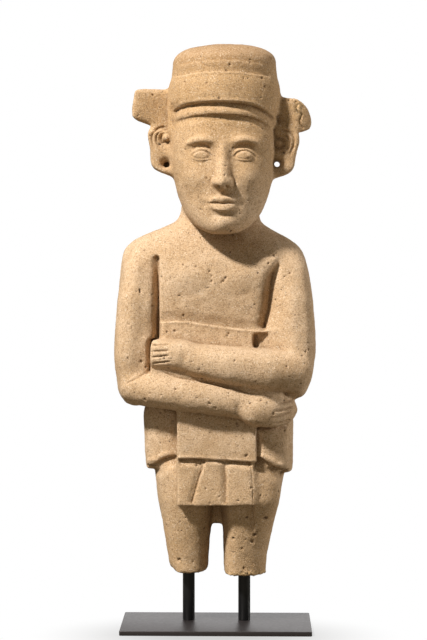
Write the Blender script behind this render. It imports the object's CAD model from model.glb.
import math

import bmesh
import bpy
import numpy as np
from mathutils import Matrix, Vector
from mathutils.bvhtree import BVHTree


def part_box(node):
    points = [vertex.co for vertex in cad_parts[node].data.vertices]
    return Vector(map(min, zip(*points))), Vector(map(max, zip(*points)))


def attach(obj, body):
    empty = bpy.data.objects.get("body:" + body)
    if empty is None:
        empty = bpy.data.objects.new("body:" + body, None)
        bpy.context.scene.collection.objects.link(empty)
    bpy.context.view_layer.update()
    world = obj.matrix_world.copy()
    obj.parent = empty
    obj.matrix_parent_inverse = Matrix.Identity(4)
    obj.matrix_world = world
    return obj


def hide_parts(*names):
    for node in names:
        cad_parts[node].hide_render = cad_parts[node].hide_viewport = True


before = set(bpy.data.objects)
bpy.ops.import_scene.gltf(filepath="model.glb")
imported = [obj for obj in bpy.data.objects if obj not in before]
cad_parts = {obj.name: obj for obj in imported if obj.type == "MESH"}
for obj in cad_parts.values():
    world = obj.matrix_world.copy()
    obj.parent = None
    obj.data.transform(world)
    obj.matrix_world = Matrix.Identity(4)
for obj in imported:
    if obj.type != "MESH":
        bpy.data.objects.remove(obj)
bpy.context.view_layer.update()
bpy.ops.object.select_all(action="DESELECT")
MM = 0.001


# Base plate
# A flat steel plate, blackened and waxed to a satin brown-black, with its corners and edges just rounded.
# The figure's two rods are fixed to it. It lies loose on the shelf.
PLATE_CORNER = 2.5 * MM
PLATE_EDGE = 0.7 * MM
PLATE_DARK = (0.038, 0.031, 0.03)
PLATE_PALE = (0.052, 0.044, 0.043)


def steel_wear():
    """Faint cloudy unevenness of a waxed black finish, with finer rubbing over it."""
    group = bpy.data.node_groups.new("steel wear", "ShaderNodeTree")
    for name, default in (("Cloud size", 0.03), ("Rub size", 0.004)):
        socket = group.interface.new_socket(name, in_out="INPUT", socket_type="NodeSocketFloat")
        socket.default_value = default
    for name in ("Cloud", "Rub"):
        group.interface.new_socket(name, in_out="OUTPUT", socket_type="NodeSocketFloat")
    nodes, link = group.nodes, group.links.new
    inputs, outputs = nodes.new("NodeGroupInput"), nodes.new("NodeGroupOutput")
    spot = nodes.new("ShaderNodeTexCoord").outputs["Object"]
    for size, result in (("Cloud size", "Cloud"), ("Rub size", "Rub")):
        scale = nodes.new("ShaderNodeMath")
        scale.operation = "DIVIDE"
        scale.inputs[0].default_value = 1.0
        noise = nodes.new("ShaderNodeTexNoise")
        noise.inputs["Detail"].default_value = 3.0
        link(inputs.outputs[size], scale.inputs[1])
        link(scale.outputs[0], noise.inputs["Scale"])
        link(spot, noise.inputs["Vector"])
        link(noise.outputs["Fac"], outputs.inputs[result])
    return group


STEEL_WEAR = steel_wear()


def ranged(tree, value, low, high, least=0.0, most=1.0):
    """Runs evenly from least to most while a value in a node tree runs from low to high."""
    level = tree.nodes.new("ShaderNodeMapRange")
    for name, number in (("From Min", low), ("From Max", high), ("To Min", least), ("To Max", most)):
        level.inputs[name].default_value = number
    tree.links.new(value, level.inputs["Value"])
    return level.outputs["Result"]


def mixed(tree, kind, share, one, other):
    """Mixes two numbers or colours of a node tree by a share. Each may be given or come from a node."""
    mix = tree.nodes.new("ShaderNodeMix")
    mix.data_type = kind
    for name, given in (("Factor", share), ("A", one), ("B", other)):
        if isinstance(given, bpy.types.NodeSocket):
            tree.links.new(given, mix.inputs[name])
        elif kind == "RGBA":
            mix.inputs[name].default_value = (*given, 1)
        else:
            mix.inputs[name].default_value = given
    return mix.outputs["Result"]


def bumpy(tree, height, strength, distance):
    """Feeds a bump of a height in a node tree to its shader."""
    bump = tree.nodes.new("ShaderNodeBump")
    bump.inputs["Strength"].default_value = strength
    bump.inputs["Distance"].default_value = distance
    tree.links.new(height, bump.inputs["Height"])
    tree.links.new(bump.outputs["Normal"], tree.nodes["Principled BSDF"].inputs["Normal"])


def black_steel(name, dark, pale, rough, metallic, cloud, rub):
    """A satin black steel finish. dark and pale are the colours its clouds run between."""
    material = bpy.data.materials.new(name)
    material.use_nodes = True
    tree = material.node_tree
    shader = tree.nodes["Principled BSDF"]
    shader.inputs["Metallic"].default_value = metallic
    wear = tree.nodes.new("ShaderNodeGroup")
    wear.node_tree = STEEL_WEAR
    wear.inputs["Cloud size"].default_value = cloud
    wear.inputs["Rub size"].default_value = rub
    tone = mixed(tree, "RGBA", wear.outputs["Cloud"], dark, pale)
    tree.links.new(tone, shader.inputs["Base Color"])
    gloss = ranged(tree, wear.outputs["Rub"], 0, 1, rough - 0.06, rough + 0.06)
    tree.links.new(gloss, shader.inputs["Roughness"])
    bumpy(tree, wear.outputs["Rub"], 0.12, 0.1 * MM)
    return material


def upright(edge):
    """Whether an edge runs up."""
    low, high = edge.verts
    return abs(low.co.z - high.co.z) > 1 * MM


def sharp(edge):
    """Whether the two faces at an edge meet at a sharp angle."""
    return edge.calc_face_angle(0) > math.radians(60)


def round_off(piece, picked, width, segments):
    """Rounds those edges of a piece that a test picks, in edit mode."""
    bpy.ops.mesh.select_all(action="DESELECT")
    made = bmesh.from_edit_mesh(piece.data)
    for edge in made.edges:
        edge.select_set(picked(edge))
    bmesh.update_edit_mesh(piece.data)
    bpy.ops.mesh.bevel(offset=width, segments=segments)


plate_low, plate_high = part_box("base_plate")
bpy.ops.mesh.primitive_cube_add(size=1, location=(plate_low + plate_high) / 2, scale=plate_high - plate_low)
plate = bpy.context.object
plate.name = "waxed_steel_plate"
bpy.ops.object.transform_apply(location=True, rotation=True, scale=True)
bpy.ops.object.mode_set(mode="EDIT")
bpy.ops.mesh.select_mode(type="EDGE")
round_off(plate, upright, PLATE_CORNER, 5)
round_off(plate, sharp, PLATE_EDGE, 3)
bpy.ops.object.mode_set(mode="OBJECT")
bpy.ops.object.shade_smooth_by_angle(angle=math.radians(40))
plate.data.materials.append(black_steel(
    "waxed plate steel", PLATE_DARK, PLATE_PALE, rough=0.4, metallic=0.55, cloud=0.09, rub=0.004))
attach(plate, "root")
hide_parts("base_plate")
bpy.ops.object.select_all(action="DESELECT")


# Rods
# Two round steel bars, satin black. Each stands on the plate and runs up into a hole drilled in the stump of
# a leg, with its edges just broken.
ROD_EDGE = 0.6 * MM
ROD_DARK = (0.008, 0.008, 0.0085)
ROD_PALE = (0.014, 0.014, 0.014)
rod_finish = black_steel(
    "satin rod steel", ROD_DARK, ROD_PALE, rough=0.32, metallic=0.3, cloud=0.02, rub=0.002)
for side in ("left", "right"):
    rod_low, rod_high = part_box("rod_" + side)
    middle = (rod_low + rod_high) / 2
    bpy.ops.mesh.primitive_cylinder_add(
        vertices=64, radius=(rod_high.x - rod_low.x) / 2, depth=rod_high.z - rod_low.z, location=middle)
    rod = bpy.context.object
    rod.name = "black_rod_" + side
    bpy.ops.object.transform_apply(location=True, rotation=True, scale=True)
    bpy.ops.object.mode_set(mode="EDIT")
    bpy.ops.mesh.select_mode(type="EDGE")
    round_off(rod, sharp, ROD_EDGE, 2)
    bpy.ops.object.mode_set(mode="OBJECT")
    bpy.ops.object.shade_smooth_by_angle(angle=math.radians(40))
    rod.data.materials.append(rod_finish)
    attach(rod, "root")
    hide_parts("rod_" + side)
    bpy.ops.object.select_all(action="DESELECT")


# Carved figure
# One block of porous tan limestone, cut with chisels and rubbed smooth, then worn, pitted and broken. The
# solid's own skin is remade finer, rounded where the carver rounded it, and then cut again in detail.
FIRST_SKIN = 1.4
FINE_SKIN = 1.3
TRIANGLES = 190000
stone = bpy.data.objects.new("carved_stone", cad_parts["stone_figure"].data.copy())
bpy.context.collection.objects.link(stone)
bpy.context.view_layer.objects.active = stone
stone.select_set(True)
bpy.ops.object.mode_set(mode="EDIT")
bpy.ops.mesh.select_all(action="SELECT")
bpy.ops.mesh.remove_doubles(threshold=0.002 * MM)
bpy.ops.object.mode_set(mode="OBJECT")


def remake(size):
    """Gives the stone one even skin of small faces, size mm across."""
    remesh = stone.modifiers.new("finer skin", "REMESH")
    remesh.mode = "VOXEL"
    remesh.voxel_size = size * MM
    bpy.ops.object.modifier_apply(modifier=remesh.name)


remake(FIRST_SKIN)
skin = stone.data


def read(name):
    """The skin's vertices or their normals as an array, one row for each."""
    values = np.zeros(len(skin.vertices) * 3, np.float32)
    skin.vertices.foreach_get(name, values)
    return values.reshape(-1, 3).astype(float)


def take_up():
    """Reads the skin's vertices, their normals and their neighbours from the mesh."""
    global ends, count, neighbours, place, facing
    ends = np.zeros(len(skin.edges) * 2, np.int64)
    skin.edges.foreach_get("vertices", ends)
    ends = ends.reshape(-1, 2)
    count = len(skin.vertices)
    neighbours = np.bincount(ends.ravel(), minlength=count).astype(float)
    place = read("co")
    facing = read("normal")


def lay_down():
    """Puts the moved vertices back into the mesh and reads its normals again."""
    global facing
    skin.vertices.foreach_set("co", place.astype(np.float32).ravel())
    skin.update()
    facing = read("normal")


def around(values):
    """The mean of each vertex's neighbours."""
    total = np.empty_like(values)
    for axis in range(values.shape[1]):
        total[:, axis] = (np.bincount(ends[:, 0], values[ends[:, 1], axis], count)
                          + np.bincount(ends[:, 1], values[ends[:, 0], axis], count))
    return total / neighbours[:, None]


def spread(values, rounds):
    """Values evened out by taking the neighbours' mean so many times."""
    for step in range(rounds):
        values = around(values)
    return values


def ramp(values, low, high):
    """0 below low, 1 above high and a smooth rise between."""
    share = np.clip((values - low) / (high - low), 0, 1)
    return share * share * (3 - 2 * share)


def within(centre, radii, core=0.5):
    """How far inside an egg-shaped region each vertex lies: 1 in the middle, 0 outside."""
    away = (place - np.array(centre) * MM) / (np.array(radii) * MM)
    return 1 - ramp(np.linalg.norm(away, axis=1), core, 1)


def reform(x_span, z_span, depth, soft=0.01, back=-6):
    """Moves the skin inside a window of x and z to the depth that a function gives.

    The window's edges are soft mm wide, and skin that lies further back than y = back stays.
    """
    x, y, z = (place / MM).T
    window = ramp(x, x_span[0], x_span[0] + soft) * (1 - ramp(x, x_span[1] - soft, x_span[1]))
    window *= ramp(z, z_span[0], z_span[0] + soft) * (1 - ramp(z, z_span[1] - soft, z_span[1])) * (y < back)
    place[:, 1] += window * (depth(x, y, z) - y) * MM


# Depths of the front
# The solid's facets leave some forms coarse that show by their shade alone. Each function gives the front's
# depth y there from x, y and z, all in mm, where a smaller y is nearer the viewer. The lists are heights or
# places across, and the depths that go with them. The carver only hollowed the gaps beside the trunk, and the
# arms' inner sides run down into them in one slope.
def left_gap(x, y, z):
    """The arm's inner side falls to a trench beside the chest, which runs out at its top."""
    arm = np.interp(z, (384, 430, 500), (-52, -51, -25))
    fall = np.interp(x, (-92, -88, -85, -82, -79, -76, -73), (0, 0.01, 0.035, 0.13, 0.42, 0.8, 1))
    trench = 4 + 27 * ramp(496 - z, 0, 42)
    return np.minimum(y, arm + trench * fall)


def right_gap(x, y, z):
    """The chest turns down towards a line, past which the arm rises again."""
    line = np.interp(z, (402, 421, 447, 466, 484), (66, 71, 73.5, 76, 84))
    chest = np.interp(z, (404, 440, 460, 476, 492), (-46, -48.5, -48, -45.5, -40))
    arm = np.interp(z, (396, 412, 428, 444, 476, 492), (-47, -44, -41, -38.5, -35, -29.5))
    trench = 6 + 20 * ramp(490 - z, 0, 35)
    falling = chest + trench * np.clip((x - 47) / (line - 49), 0, 1) ** 3.5
    rising = arm + 9 * (1 - ramp(x, line - 2, 87))
    turn = ramp(x, line - 5, line + 2)
    return falling * (1 - turn) + rising * turn


def beside_belt(x, y, z):
    """A sunken strip below the gap, which rises towards the arm, with a narrow slot at the belt's end."""
    strip = -40 - 8 * ramp(x, 62, 80) - 8 * ramp(z, 392, 395) * (1 - ramp(x, 60, 74))
    slot = (x > 49.5) & (x < 55.5) & (z < 391) & (y > -60)
    return np.where(slot, -36, np.minimum(y, strip))


def beside_hand(x, y, z):
    """The upper arm stands full as far as the fingertips of the hand on it, and drops steeply there."""
    return np.minimum(y, np.interp(x, (-100, -90, -88, -86.5), (-57, -56.5, -54, -44)))


def curled_hand(x, y, z):
    """The under-hand turns back past a slanted line over its knuckles."""
    past = np.clip((x - 45) * 0.645 - (z - 285) * 0.764, 0, None)
    turned = -83 + 0.5 * past + 0.3 * np.clip(past, 0, 6)
    return np.where(past > 0, np.maximum(y, turned), y)


def kilt_left(x, y, z):
    """The hip cloth sinks by up to 7 mm towards the apron, and comes forward again at its hem."""
    return y + 7 * ramp(x, -90, -54) * ramp(z, 214, 236)


def kilt_side(x, y, z):
    """The hip cloth on the viewer's right lies nearly flat and then turns back round the hip."""
    return np.minimum(y, -49.5 + 0.1 * (x - 58) + 0.012 * np.clip(x - 66, 0, None) ** 2)


def thigh_side(x, y, z):
    """The thigh below it is as full as the hip cloth at the hem, and less and less so further down."""
    flush = np.minimum(y, -46 + 0.03 * np.clip(x - 62, 0, None) ** 2)
    return y + (flush - y) * ramp(z, 105, 178)


def left_flap(x, y, z):
    """The hat's flap comes forward towards its free end."""
    return y + 0.2 * (x + 112)


def crease(x, y, z):
    """The cleft between the forearms, along a line across them and no deeper than a floor."""
    line = np.interp(x, (-79, -49, -15, 28, 60, 84, 100), (343, 336, 330, 320, 313.5, 311, 308))
    floor = np.interp(x, (-84, -60, 40, 60, 72, 84, 92, 98), (-64, -69, -71, -70, -66, -55, -38, -20))
    return np.where(np.abs(z - line) < 13, np.minimum(y, floor), y)


def turned_leg(x, y, z):
    """The leg turns outwards below the apron: its outer side goes back and its inner side comes forward."""
    shift = 0.28 * np.clip(x - 30, 0, None) - 0.35 * np.clip(30 - x, 0, 16)
    return y + shift * ramp(176 - z, 0, 30) * ramp(-y, -30, 35)


take_up()
reform((-97, -73.2), (383, 500), left_gap, 0.01, 12)
reform((-100, -85.5), (340, 386), beside_hand)
reform((40, 88), (393, 492), right_gap, 4, 12)
reform((47, 86), (360, 396.9), beside_belt)
reform((-84, 98), (290, 356), crease)
reform((46, 104), (268, 312), curled_hand)
reform((-95, -51), (214, 292), kilt_left)
reform((54.5, 96), (214, 268), kilt_side, 2)
reform((50, 84), (105, 224), thigh_side)
reform((-116, -62), (655, 720), left_flap, 2, 0)
reform((12, 100), (50, 176), turned_leg, 0.01, 60)
lay_down()
remake(FINE_SKIN)
take_up()

# Rubbing down
# Where the skin turns sharply within about 3 mm the carver left an edge. Elsewhere the facets are rubbed
# away, and on the face and the round forms listed here the edges are too. Each is a centre and radii in mm.
SHOULDERS = (((-108, -30, 470), (40, 50, 50)), ((104, -30, 468), (40, 50, 50)))
ELBOWS = (((-120, -20, 350), (34, 60, 34)), ((116, -24, 372), (30, 60, 34)))
UPPER_ARMS = (((-100, -40, 400), (12, 60, 60)), ((108, -40, 420), (20, 60, 60)))
GAP_SLOPES = (((58, -44, 445), (24, 30, 66)), ((-86, -36, 440), (12, 26, 70)))
NECK = (((0, 10, 528), (70, 45, 24)),)
FACE_X = 9.5
turning = 1 - np.linalg.norm(spread(facing, 5), axis=1)
edge = ramp(turning, 0.03, 0.08)[:, None]
for step in range(3):
    edge = np.maximum(edge, around(edge))
rub = 1 - spread(edge, 3)[:, 0]
for centre, radii in SHOULDERS + ELBOWS + UPPER_ARMS + GAP_SLOPES + NECK:
    rub = np.maximum(rub, within(centre, radii))
face = within((FACE_X, -80, 594), (66, 44, 82), 0.8)
nose = within((FACE_X, -98, 602), (15, 34, 40), 0.7)
rub = np.maximum(rub, face * (1 - nose))
for step in range(60):
    place += (0.6 * rub)[:, None] * (around(place) - place)
for step in range(3):
    place += 0.5 * (around(place) - place)
lay_down()

# Chisels
# Lines and rounds are cut into the front by their x and z in mm. Widths, depths and radii are in mm too, and
# a taper is the share of a line's length over which its cut fades at either end.
IN_FRONT = -300 * MM
front = BVHTree.FromPolygons(place.tolist(), [tuple(part.vertices) for part in skin.polygons])


def laid(points, step=1.2):
    """A smooth line through hand-set points (x, z), laid on the front of the stone."""
    hand = np.array(points, float)
    hand = np.vstack([2 * hand[0] - hand[1], hand, 2 * hand[-1] - hand[-2]])
    line = []
    for before, start, stop, after in zip(hand, hand[1:], hand[2:], hand[3:]):
        parts = max(2, int(np.linalg.norm(stop - start) / step))
        for part in np.arange(parts) / parts:
            line.append(0.5 * (2 * start + (stop - before) * part
                               + (2 * before - 5 * start + 4 * stop - after) * part * part
                               + (3 * start - before - 3 * stop + after) * part ** 3))
    line.append(hand[-2])
    backwards = Vector((0, 1, 0))
    hits = [front.ray_cast(Vector((x * MM, IN_FRONT, z * MM)), backwards)[0] for x, z in line]
    return np.array([hit for hit in hits if hit is not None])


def reach(line, width):
    """The vertices near a line, their distance from it in mm, their share of its length and their side."""
    low, high = line.min(0) - width * MM, line.max(0) + width * MM
    near = np.flatnonzero(np.all((place > low) & (place < high), axis=1) & (facing[:, 1] < 0.35))
    starts, spans = line[:-1], line[1:] - line[:-1]
    away = place[near][:, None] - starts[None]
    along = np.clip((away * spans).sum(2) / np.maximum((spans ** 2).sum(1), 1e-12), 0, 1)
    gap = np.linalg.norm(away - along[..., None] * spans, axis=2)
    which = gap.argmin(1)
    row = np.arange(len(near))
    away, span = away[row, which], spans[which]
    side = np.sign(span[:, 0] * away[:, 2] - span[:, 2] * away[:, 0])
    share = (which + along[row, which]) / len(spans)
    return near, gap[row, which] / MM, share, side


def groove(points, width, depth, taper=0.15):
    """A cut along a line, as wide as width. With a depth below 0 it is a ridge."""
    near, gap, share, _ = reach(laid(points), width / 2)
    cut = depth * np.clip(1 - (2 * gap / width) ** 2, 0, 1) ** 2
    cut *= ramp(share, 0, taper) * ramp(1 - share, 0, taper)
    place[near] -= facing[near] * cut[:, None] * MM


def ledge(points, width, depth, taper=0.08):
    """A step along a line: right of its run the skin drops at once and comes up again over the width."""
    near, gap, share, side = reach(laid(points), width)
    low = ramp(-side * gap, -0.4, 0.8) * (1 - ramp(gap, 0.15 * width, width))
    cut = depth * low * ramp(share, 0, taper) * ramp(1 - share, 0, taper)
    place[near] -= facing[near] * cut[:, None] * MM


def swell(x, z, radii, height, core=0.0):
    """A soft rise on the front, or a hollow where height is below 0."""
    spot = laid([(x, z), (x + 0.1, z)])[0] / MM
    place[:] += facing * (height * within(spot, radii, core) * (facing[:, 1] < 0.2))[:, None] * MM


# Hat
# A band hangs over a headband, two faint ledges run round the crown, and a short crack crosses it.
BAND = ((-58, 682), (-46, 687), (-22, 690), (11, 690.5), (44, 688), (62, 682), (78, 673))
groove([(x, z + 2) for x, z in BAND], 7, -1.4)
ledge([(x, z - 1.5) for x, z in BAND], 12, 3.6, 0.03)
groove([(x, z - 4) for x, z in BAND], 5, 1.6)
HEADBAND = ((-56, 667), (-46, 670), (-24, 673.5), (12, 674), (44, 671), (62, 665), (74, 658))
ledge(HEADBAND, 12, 2.4)
ledge([(74, 724), (20, 728.5), (-20, 728), (-62, 724)], 12, 1.5)
groove([(-62, 723), (-20, 727), (20, 727.5), (74, 723)], 4, -0.5)
ledge([(66, 739), (30, 743), (-10, 743), (-52, 739)], 9, 0.7)
groove([(-20, 742), (-14, 738), (-8, 735), (-4, 731)], 2.8, 1.1)

# Face
# Plain and calm: almond eyes under heavy lids, a straight nose, full closed lips and a rounded chin. The eyes
# are about one eye's width apart, and brow, nose and chin stand a third of the face apart. Lids are drawn out
# from the eye's middle and the other lines from the face's.
BROW_Z = 639
EYE_Z = 622
EYE_X = 27
NOSE_Z = 580
MOUTH_Z = 560
CHIN_Z = 521
BROW = ((9, -3), (20, 2), (32, 3.5), (44, -0.5), (52, -7))
UPPER_LID = ((-15, -2), (-8, 5), (0, 7.2), (8, 5.6), (16, -1))
LOWER_LID = ((-15, -2), (-7, -5.4), (1, -6.6), (9, -5), (16, -1))
NOSE_WING = ((13, 15), (16, 10), (16.5, 4), (13.5, -1))
UPPER_LIP = ((-22, 0), (-11, 4.4), (-4, 5.6), (0, 4.8), (4, 5.6), (11, 4.4), (22, 0))
LOWER_LIP = ((-19, -2), (-9, -6.2), (0, -7.4), (9, -6.2), (19, -2))
MOUTH = ((-23, -0.5), (-10, 0.4), (0, -0.8), (10, 0.4), (23, -0.5))
CHIN_FOLD = ((-15, 1.5), (0, -1), (15, 1.5))


def on_face(line, z, side=1, x=0):
    """A line of the face at a height z, set off from its middle by x and mirrored where side is -1."""
    return [(FACE_X + side * (x + across), z + up) for across, up in line]


for side in (-1, 1):
    swell(FACE_X + side * EYE_X, EYE_Z, (21, 30, 13), -3.0)
    swell(FACE_X + side * EYE_X, EYE_Z, (17, 22, 9.5), 3.6, 0.3)
    upper = on_face(UPPER_LID, EYE_Z, side, EYE_X)
    lower = on_face(LOWER_LID, EYE_Z, side, EYE_X)
    groove(upper, 6.5, -1.2, 0.3)
    ledge(upper[::side], 6, 2.0, 0.15)
    ledge(lower[::-side], 5, 1.0, 0.2)
    groove(lower, 4.5, -0.8, 0.3)
    groove([(x, z - 1.6) for x, z in upper], 2.8, 1.0, 0.25)
    groove([(x, z + 5.5) for x, z in upper], 4.5, 1.2, 0.3)
    groove(on_face(BROW, BROW_Z, side), 15, -1.9, 0.4)
    swell(FACE_X + side * 9.5, NOSE_Z + 7, (8.5, 16, 9), 2.2)
    groove(on_face(NOSE_WING, NOSE_Z, side), 5, 1.3, 0.35)
    swell(FACE_X + side * 6, NOSE_Z + 0.5, (4.8, 12, 3.6), -3.4)
    swell(FACE_X + side * 36, NOSE_Z + 12, (26, 36, 24), 2.4)
    swell(FACE_X + side * 23, MOUTH_Z - 1, (7, 20, 6), -1.2)
groove(on_face(UPPER_LIP, MOUTH_Z), 10, -3.0, 0.3)
groove(on_face(LOWER_LIP, MOUTH_Z), 11, -3.4, 0.35)
groove(on_face(MOUTH, MOUTH_Z), 4, 2.8, 0.2)
groove([(FACE_X, NOSE_Z - 4), (FACE_X, MOUTH_Z + 8)], 7, 1.2, 0.4)
groove(on_face(CHIN_FOLD, MOUTH_Z - 16), 9, 1.3, 0.4)
swell(FACE_X, CHIN_Z + 14, (20, 30, 14), 2.6)

# Ears
# Flat shells that face forwards, with a groove inside the rim, a curl round the hollow and short strokes. The
# ragged edge where the hat's flap broke off is above the ear on the viewer's right.
RIMS = (
    [(-63, 662), (-75, 659.5), (-82, 653), (-84, 645), (-82.5, 635), (-80, 628)],
    [(84, 657), (96, 654), (102, 647), (102.5, 638), (99, 629), (98, 622)],
)
CURLS = (
    [(-66, 656), (-74, 654), (-78, 647), (-76, 637), (-70, 631)],
    [(88, 650), (95, 645), (96, 636), (91, 628)],
)
STROKES = ([(-72, 640), (-62, 641)], [(-71, 630.5), (-63, 630.5)], [(-69, 637), (-69, 631)])
BROKEN_EDGE = [(104, 699), (109, 691), (108, 684), (114, 677), (112, 668), (117, 659)]
for rim in RIMS:
    groove(rim, 4.2, 2.2)
for curl in CURLS:
    groove(curl, 4, 2.2)
ledge(BROKEN_EDGE, 7, 1.8, 0.05)
for stroke in STROKES:
    groove(stroke, 2.8, 1.2)

# Chest and belt
# The belt is a flat band whose upper edge stands proud, with a slot cut beside its end on the viewer's right.
BELT = ((-74, 404.5), (-53, 405.5), (-33, 404.5), (-14, 401.5), (8, 398.5), (32, 395.5), (51, 394), (69, 393))
for x in (-36, 37):
    swell(x, 466, (34, 40, 27), 2.6)
groove([(-5, 486), (-6, 474), (-7, 464), (-6, 450)], 12, 0.9, 0.4)
groove([(-66, 446), (-44, 440), (-24, 441), (-9, 449)], 12, 0.6, 0.4)
groove([(-2, 449), (16, 441), (38, 441), (60, 449)], 12, 0.6, 0.4)
groove([(12, 464), (7, 456)], 2.8, 0.9)
ledge([(x, z + 1.5) for x, z in BELT[::-1]], 15, 2.6, 0.04)
groove([(x, z - 0.5) for x, z in BELT], 4, -0.9, 0.03)
swell(58, 381, (9, 16, 14), -1.5)

# Arms and hands
# The digits are flat and parted by shallow cuts, the wrists are slightly waisted, and the arms meet in
# creases.
DIGIT_GAPS = (
    [(-84, 377), (-71, 378), (-57, 379)], [(-84, 369), (-71, 370), (-57, 371)],
    [(-84, 361), (-71, 363), (-57, 365)], [(-82, 353), (-70, 355), (-56, 357)],
    [(80, 301), (90, 302), (103, 303)], [(73, 292), (89, 293), (104, 296)],
    [(71, 283), (85, 285), (100, 289)], [(73, 275), (85, 276), (97, 279)],
)
ARM_CREASE = (
    (-79, 343), (-66, 341), (-49, 336), (-33, 333), (-15, 330), (6, 325), (28, 320), (45, 315), (60, 313.5),
)
groove([(-84, 341), (-92, 340), (-100, 335), (-109, 330), (-117, 325)], 4.5, 1.8)
groove([(-83, 382), (-84, 371), (-87, 356), (-88, 342)], 3.2, 1.6)
for digit_gap in DIGIT_GAPS:
    groove(digit_gap, 3.8, 2.8, 0.25)
swell(-40, 362, (8, 26, 20), -1.6)
swell(31, 297, (8, 24, 18), -1.8)
groove(ARM_CREASE, 4.5, 1.6)

# Hip cloth and apron
# The panel hangs over three pleats, each cut lower at one side, and the hip cloth's hem is a thin step.
PANEL = ((-50, 228.5), (-30, 228.8), (-11, 228), (12, 226.5), (30, 225.5), (49, 224))
ledge([(-94, 216), (-86, 217.5), (-78, 221.5), (-70, 227), (-61, 230.5), (-52, 231.5)], 22, 5.5, 0.04)
ledge([(54, 232), (60, 229.5), (70, 223), (79.5, 217), (88, 213), (97, 212)], 22, 5.5, 0.04)
groove([(-92, 221), (-78, 226), (-70, 231), (-58, 235)], 9, -1.6)
groove([(57, 234), (70, 227.5), (80, 221.5), (90, 217.5)], 9, -1.6)
groove([(x, z + 2.5) for x, z in PANEL], 6, -1.2, 0.02)
for run, width, depth in ((PANEL[:3], 12, 5), (PANEL[2:4], 6, 3), (PANEL[3:], 10, 4.5)):
    ledge(run, width, depth, 0.12)
groove([(x, z - 2.5) for x, z in PANEL], 4, 1.4, 0.02)
ledge([(-19, 224), (-18, 215), (-21, 206), (-25, 192), (-31, 170)], 9, 1.6, 0.03)
ledge([(13, 225), (14, 200), (14, 170)], 9, 1.8, 0.03)
groove([(-19, 226), (-18, 215), (-21, 206), (-25, 192), (-31, 170)], 5, 3.2, 0.03)
groove([(12, 225), (13, 200), (13, 170)], 5, 3.0, 0.03)
groove([(46, 222), (48, 197), (49, 170)], 4, 1.0, 0.03)
swell(-54, 245, (8, 24, 30), -3)
swell(57, 250, (6, 24, 34), -2)
lay_down()

# Wear
# The skin is uneven all over and full of small holes, and rough where it broke: at the two stumps and at the
# hat's flap on the viewer's right. A hole is x, z and size in mm where it has its own place. The rest are
# scattered.
FRACTURES = (((-42, -4, 69), (46, 60, 9)), ((40, -4, 69), (50, 60, 9)), ((107, 2, 684), (14, 30, 22)))
PITS = (
    (65, 148, 4), (51, 126, 3.4), (47.5, 117, 2.9), (-65, 136, 2.8), (-15, 134, 2.2), (-49, 92, 2.8),
    (40, 233, 2.6), (28, 273.5, 2.8), (-18, 219, 2), (-18, 214.5, 2), (-25, 186, 2), (5, 180, 1.6),
    (46, 191, 1.6), (-53, 394, 2.2), (-63, 393, 1.6), (17, 391, 1.6), (76, 492, 2.6), (69, 482, 2),
    (55, 469, 2), (97, 469, 1.8), (-8, 472, 1.6), (-5, 466, 1.5), (-5, 459, 1.5), (-42, 480, 1.8),
    (-20, 515, 1.6), (22, 519, 2), (-96, 355, 2.4), (-90, 348, 2.2), (121, 371, 2), (117, 368, 1.7),
    (112, 363, 1.7), (80, 426, 1.7), (-8, 375, 1.6), (-51, 321, 1.6), (45, 303, 2), (-7, 303, 2),
    (0, 297, 1.8), (75, 289, 2.2), (-73, 286, 1.8), (-56, 276, 1.8), (-82, 279, 1.6), (-77, 267, 1.6),
    (-11, 714, 1.8), (-40, 717, 1.6), (60, 722, 1.8), (64, 711, 1.6), (-83, 703, 1.8), (-65.6, 612.4, 3.4),
    (5, 694, 2.2), (13, 463, 2.2), (10, 459, 1.8),
)
SCATTERED_HOLES = 520
HOLE_SIZES = (0.9, 1.2, 1.6, 2.1)
HOLE_SHARES = (0.55, 0.3, 0.11, 0.04)
for name, size, height in (("waviness", 18, 1.3), ("roughness", 5, 0.6)):
    cloud = bpy.data.textures.new(name, "CLOUDS")
    cloud.noise_scale = size * MM
    cloud.noise_depth = 2
    lift = stone.modifiers.new(name, "DISPLACE")
    lift.texture = cloud
    lift.texture_coords = "GLOBAL"
    lift.strength = height * MM
    bpy.ops.object.modifier_apply(modifier=lift.name)
place = read("co")
facing = read("normal")
chance = np.random.default_rng(11)
holes = [(laid([(x, z), (x + 0.1, z)])[0], size) for x, z, size in PITS]
for which in chance.integers(0, count, SCATTERED_HOLES):
    holes.append((place[which], chance.choice(HOLE_SIZES, p=HOLE_SHARES)))


def in_holes(scale):
    """How deep in a hole each vertex lies: 1 in the middle, 0 outside. Each hole is longer one way."""
    deep = np.zeros(count)
    ways = np.random.default_rng(5).normal(size=(len(holes), 3))
    for (spot, size), way in zip(holes, ways):
        near = np.flatnonzero(np.all(np.abs(place - spot) < 2.5 * size * MM, axis=1))
        away = (place[near] - spot) / (size * scale * MM)
        way /= np.linalg.norm(way)
        away -= 0.4 * (away @ way)[:, None] * way
        deep[near] = np.maximum(deep[near], 1 - ramp(np.linalg.norm(away, axis=1), 0.3, 1.1))
    return deep


def broken():
    """Where the stone broke."""
    mask = np.zeros(count)
    for centre, radii in FRACTURES:
        mask = np.maximum(mask, within(centre, radii, 0.7))
    return mask


deep = in_holes(1.0)
sunk = deep * (1.1 + 0.9 * deep)
place -= facing * sunk[:, None] * MM
crumb = spread(chance.normal(size=(count, 1)), 4)
place += facing * crumb * (2.2 * broken())[:, None] * MM
lay_down()

# Slimmer mesh
# The skin is thinned to what one piece may have, least where it bends most.
slimmer = stone.modifiers.new("fewer faces", "DECIMATE")
slimmer.ratio = TRIANGLES / (2 * len(skin.polygons))
slimmer.use_collapse_triangulate = True
bpy.ops.object.modifier_apply(modifier=slimmer.name)
take_up()


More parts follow.
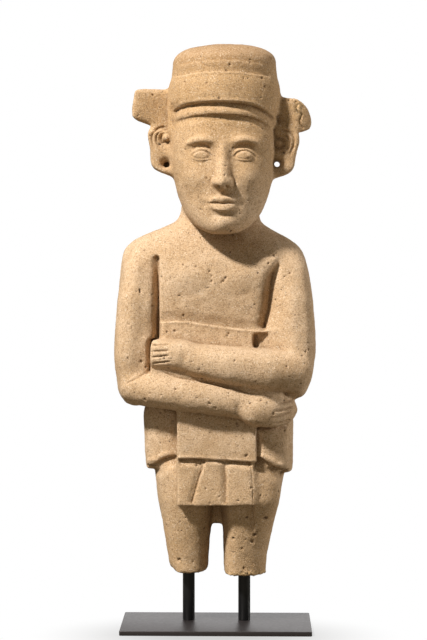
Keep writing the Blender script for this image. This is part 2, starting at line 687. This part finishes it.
# Stone colours
# Dust lies where the skin looks up, worn swells are paler, hollows hold brown dirt and holes are nearly
# black. Hat and head are browner than the trunk, and the top of the crown is the brownest.
def keep(name, values):
    """Stores a value for each vertex under a name, for the material."""
    stored = skin.attributes.new(name, "FLOAT", "POINT")
    stored.data.foreach_set("value", np.clip(values, 0, 1).astype(np.float32))


near_mean = spread(place, 4)
far_mean = spread(place, 40)
near_hollow = ((near_mean - place) * facing).sum(1) / MM
far_hollow = ((far_mean - place) * facing).sum(1) / MM
keep("hollow", ramp(near_hollow, 0.1, 1.0) * 0.6 + ramp(far_hollow, 0.6, 4) * 0.7)
keep("worn", ramp(-near_hollow, 0.1, 0.9) * 0.6 + ramp(-far_hollow, 0.8, 5) * 0.5)
keep("hole", in_holes(0.85))
keep("broken", broken())
keep("dust", ramp(facing[:, 2], 0.1, 0.9))

limestone = bpy.data.materials.new("tan limestone")
limestone.use_nodes = True
limestone_tree = limestone.node_tree
skin_place = limestone_tree.nodes.new("ShaderNodeTexCoord").outputs["Object"]
parted = limestone_tree.nodes.new("ShaderNodeSeparateXYZ")
limestone_tree.links.new(skin_place, parted.inputs[0])


def cloudy(size, detail=2.0, low=0.35, high=0.65):
    """A mask of soft clouds about size mm across."""
    noise = limestone_tree.nodes.new("ShaderNodeTexNoise")
    noise.inputs["Scale"].default_value = 1 / (size * MM)
    noise.inputs["Detail"].default_value = detail
    limestone_tree.links.new(skin_place, noise.inputs["Vector"])
    return ranged(limestone_tree, noise.outputs["Fac"], low, high)


def specks(size, share):
    """A mask of scattered round specks: one to every cell of size mm, each as wide as its share of it."""
    cells = limestone_tree.nodes.new("ShaderNodeTexVoronoi")
    cells.inputs["Scale"].default_value = 1 / (size * MM)
    limestone_tree.links.new(skin_place, cells.inputs["Vector"])
    return ranged(limestone_tree, cells.outputs["Distance"], share, share * 0.6)


def kept(name):
    """A mask that the mesh carries."""
    stored = limestone_tree.nodes.new("ShaderNodeAttribute")
    stored.attribute_name = name
    return stored.outputs["Fac"]


def at_height(start, end):
    """A mask that runs from 0 at one height to 1 at another, in mm."""
    return ranged(limestone_tree, parted.outputs["Z"], start * MM, end * MM)


def times(one, other):
    """The product of two masks, or of a mask and a number."""
    product = limestone_tree.nodes.new("ShaderNodeMath")
    product.operation = "MULTIPLY"
    limestone_tree.links.new(one, product.inputs[0])
    if isinstance(other, float):
        product.inputs[1].default_value = other
    else:
        limestone_tree.links.new(other, product.inputs[1])
    return product.outputs[0]


def over(under, colour, mask, strength):
    """Lays a colour over another where a mask is high."""
    return mixed(limestone_tree, "RGBA", times(mask, strength), under, colour)


colour = over((0.5, 0.335, 0.19), (0.6, 0.43, 0.275), cloudy(48), 1.0)
# Head, crown and legs are browner.
colour = over(colour, (0.46, 0.27, 0.105), at_height(545, 660), 0.65)
colour = over(colour, (0.3, 0.165, 0.065), at_height(728, 755), 0.9)
colour = over(colour, (0.48, 0.3, 0.135), at_height(240, 140), 0.5)
colour = over(colour, (0.4, 0.25, 0.12), cloudy(10, 3.0), 0.35)
# Dust, worn swells, breaks and the dirt in hollows.
colour = over(colour, (0.62, 0.48, 0.34), kept("dust"), 0.1)
colour = over(colour, (0.66, 0.48, 0.31), kept("worn"), 0.3)
colour = over(colour, (0.62, 0.42, 0.2), kept("broken"), 0.6)
colour = over(colour, (0.2, 0.115, 0.05), kept("hollow"), 0.75)
# Dark and pale grains, then dark and pale specks, then the holes.
colour = over(colour, (0.22, 0.12, 0.05), cloudy(1.9, 2.0, 0.45, 0.7), 0.6)
colour = over(colour, (0.76, 0.6, 0.44), cloudy(1.3, 1.0, 0.52, 0.75), 0.55)
colour = over(colour, (0.1, 0.06, 0.03), times(specks(2.2, 0.36), cloudy(5, 2.0, 0.5, 0.64)), 0.75)
colour = over(colour, (0.8, 0.68, 0.53), times(specks(3.4, 0.28), cloudy(11, 2.0, 0.45, 0.6)), 0.5)
colour = over(colour, (0.06, 0.036, 0.02), kept("hole"), 0.9)
shader = limestone_tree.nodes["Principled BSDF"]
limestone_tree.links.new(colour, shader.inputs["Base Color"])
shader.inputs["Roughness"].default_value = 0.93
shader.inputs["Specular IOR Level"].default_value = 0.25
bumpy(limestone_tree, cloudy(1.5, 3.0, 0.2, 0.8), 0.8, 0.6 * MM)
skin.materials.clear()
skin.materials.append(limestone)
bpy.ops.object.shade_smooth()
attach(stone, "root")
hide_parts("stone_figure")
bpy.ops.object.select_all(action="DESELECT")


# Floor
# Pale paper that glows white to the camera, and less so round the plate's front edge. For the figure it is
# dim, so that little light comes up from it.
FLOOR_SIZE = 8
FLOOR_TONE = (0.13, 0.115, 0.085)
SEEN_TONE = (0.2, 0.2, 0.2)
bpy.ops.mesh.primitive_plane_add(size=FLOOR_SIZE, location=(0, 0, 0))
floor = bpy.context.object
floor.name = "studio_floor"
paper = bpy.data.materials.new("pale floor")
paper.use_nodes = True
tree = paper.node_tree
nodes, link = tree.nodes, tree.links.new
seen = nodes.new("ShaderNodeLightPath").outputs["Is Camera Ray"]
nodes["Principled BSDF"].inputs["Roughness"].default_value = 0.9
link(mixed(tree, "RGBA", seen, FLOOR_TONE, SEEN_TONE), nodes["Principled BSDF"].inputs["Base Color"])
glow = nodes.new("ShaderNodeEmission")
glow.inputs["Color"].default_value = (1, 1, 1, 1)
from_plate = nodes.new("ShaderNodeMapping")
from_plate.inputs["Location"].default_value = (0, 0.06, 0)
from_plate.inputs["Scale"].default_value = (0.6, 1, 1)
link(nodes.new("ShaderNodeTexCoord").outputs["Object"], from_plate.inputs["Vector"])
far_off = nodes.new("ShaderNodeVectorMath")
far_off.operation = "LENGTH"
link(from_plate.outputs["Vector"], far_off.inputs[0])
fade = ranged(tree, far_off.outputs["Value"], 0.02, 0.15, 0.48, 1.0)
fade.node.interpolation_type = "SMOOTHSTEP"
glow_share = nodes.new("ShaderNodeMath")
glow_share.operation = "MULTIPLY"
link(seen, glow_share.inputs[0])
link(fade, glow_share.inputs[1])
blend = nodes.new("ShaderNodeMixShader")
link(glow_share.outputs[0], blend.inputs["Fac"])
link(nodes["Principled BSDF"].outputs["BSDF"], blend.inputs[1])
link(glow.outputs["Emission"], blend.inputs[2])
link(blend.outputs["Shader"], nodes["Material Output"].inputs["Surface"])
floor.data.materials.append(paper)

# Room
# It is white to the camera and dim for the figure. The steel mirrors it white behind the figure and dark in
# front of it.
DIM = 0.07
WARM = (1, 0.88, 0.66)
world = bpy.data.worlds.new("white room")
bpy.context.scene.world = world
world.use_nodes = True
tree = world.node_tree
nodes, link = tree.nodes, tree.links.new
seen = nodes.new("ShaderNodeLightPath")
direction = nodes.new("ShaderNodeSeparateXYZ")
link(nodes.new("ShaderNodeTexCoord").outputs["Generated"], direction.inputs[0])
behind = ranged(tree, direction.outputs["Y"], 0.2, 0.9, 0.05, 1.25)
mirrored = mixed(tree, "FLOAT", seen.outputs["Is Glossy Ray"], 1.0, behind)
strength = mixed(tree, "FLOAT", seen.outputs["Is Diffuse Ray"], mirrored, DIM)
tint = mixed(tree, "RGBA", seen.outputs["Is Diffuse Ray"], (1, 1, 1), WARM)
link(tint, nodes["Background"].inputs["Color"])
link(strength, nodes["Background"].inputs["Strength"])

# Lights
# A small key light stands high on the viewer's left, a weak low one on the right, and a weaker fill in front.
CHEST = Vector((0, 0, 420 * MM))


def panel(name, azimuth, elevation, distance, size, power, colour):
    """A square light turned to the figure's chest. Azimuth 0 is in front and 90 on the viewer's right."""
    turn, rise = math.radians(azimuth), math.radians(elevation)
    out = Vector((math.sin(turn) * math.cos(rise), -math.cos(turn) * math.cos(rise), math.sin(rise)))
    bpy.ops.object.light_add(type="AREA", location=CHEST + out * distance)
    light = bpy.context.object
    light.name = name
    light.data.size = size
    light.data.energy = power
    light.data.color = colour
    light.rotation_mode = "QUATERNION"
    light.rotation_quaternion = out.to_track_quat("Z", "Y")


panel("key_light", -43.5, 46.2, distance=6.5, size=0.57, power=805, colour=(1, 0.975, 0.94))
panel("side_light", 100, 8, distance=3.0, size=0.7, power=46, colour=(1, 0.97, 0.93))
panel("fill_light", -10, 15, distance=3.0, size=1.5, power=8, colour=(1, 0.94, 0.84))

# Camera
# It stands level with the figure's chin and very slightly to the right, with its lens shifted down. The
# focal length and the horizon's row are in the picture's pixels.
CAMERA_TURN = math.radians(1.1)
CAMERA_DISTANCE = 2434
CAMERA_HEIGHT = 528
AIM_X = -3.7
SENSOR = 36
PICTURE_HEIGHT = 640
FOCAL_LENGTH = 1836
HORIZON = 228
camera_x = AIM_X + CAMERA_DISTANCE * math.sin(CAMERA_TURN)
camera_y = -CAMERA_DISTANCE * math.cos(CAMERA_TURN)
bpy.ops.object.camera_add(
    location=(camera_x * MM, camera_y * MM, CAMERA_HEIGHT * MM), rotation=(math.pi / 2, 0, CAMERA_TURN))
camera = bpy.context.object
camera.data.sensor_width = SENSOR
camera.data.lens = SENSOR * FOCAL_LENGTH / PICTURE_HEIGHT
camera.data.shift_y = (HORIZON - PICTURE_HEIGHT / 2) / PICTURE_HEIGHT
bpy.context.scene.camera = camera
bpy.context.scene.view_settings.view_transform = "Standard"
